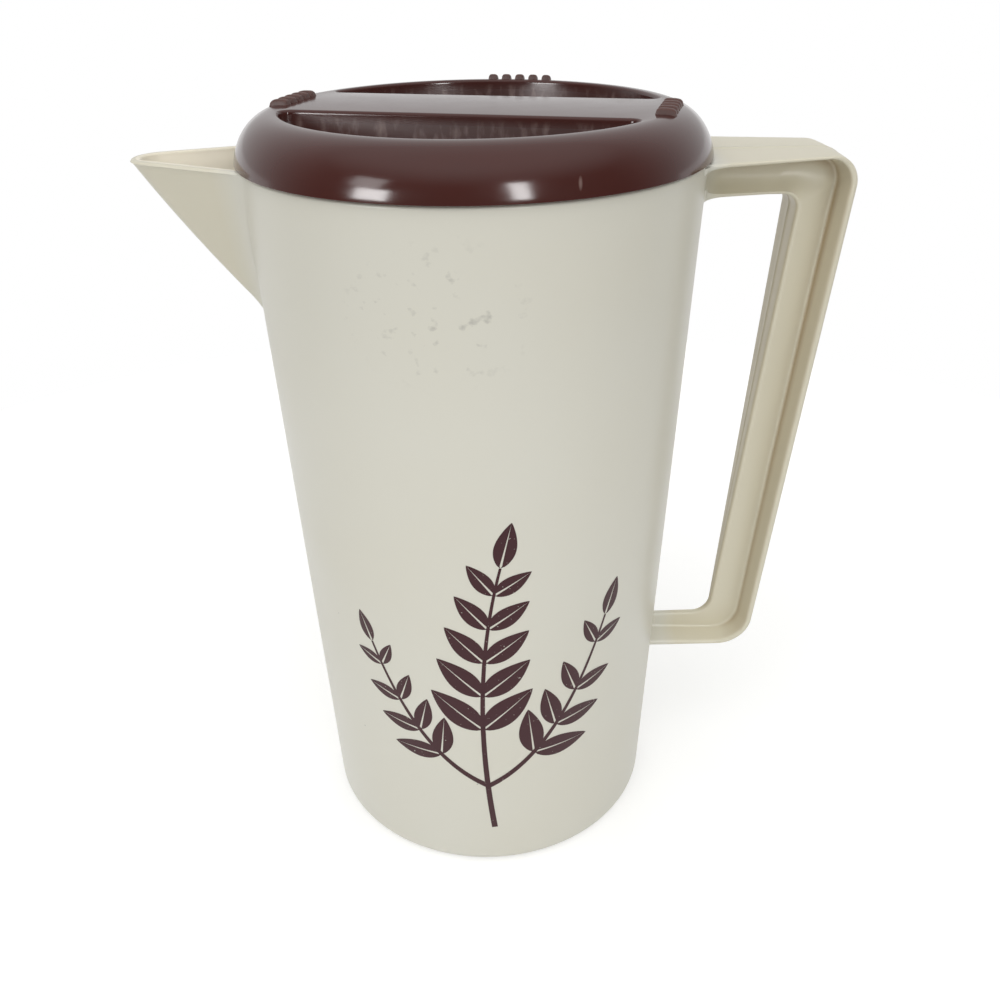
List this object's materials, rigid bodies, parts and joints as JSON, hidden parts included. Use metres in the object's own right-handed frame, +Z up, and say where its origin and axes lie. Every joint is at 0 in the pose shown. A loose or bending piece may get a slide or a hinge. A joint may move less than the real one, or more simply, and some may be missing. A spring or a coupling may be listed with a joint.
{
  "type": "lidded pitcher",
  "caption": "Tapered jug with a V-shaped spout, a flanged loop handle and a round lid that turns to pour, strain or close, and lifts off.",
  "frame": {"origin": "middle of the jug's base, on the surface it stands on", "axes": "+Z up along the jug's axis, +X towards the handle, -X towards the spout"},
  "size_m": [0.1947, 0.1274, 0.2288],
  "materials": {
    "jug_plastic": "ivory moulded polypropylene, soft gloss",
    "lid_plastic": "dark red-brown moulded plastic, high gloss",
    "seal_rubber": "soft grey silicone, matt"
  },
  "bodies": {
    "jug": {"jug_body": "jug_plastic", "handle": "jug_plastic"},
    "seal": {"lid_seal": "seal_rubber"},
    "lid": {"lid_cap": "lid_plastic", "lid_collar": "lid_plastic"}
  },
  "joints": [
    {"name": "lid_lift", "type": "slide", "parent": "jug", "child": "seal", "axis": [0, 0, 1], "range_m": [0, 0.06]},
    {"name": "lid_turn", "type": "hinge", "parent": "seal", "child": "lid", "pos_m": [0, 0, 0.2152], "axis": [0, 0, 1], "continuous": true}
  ]
}
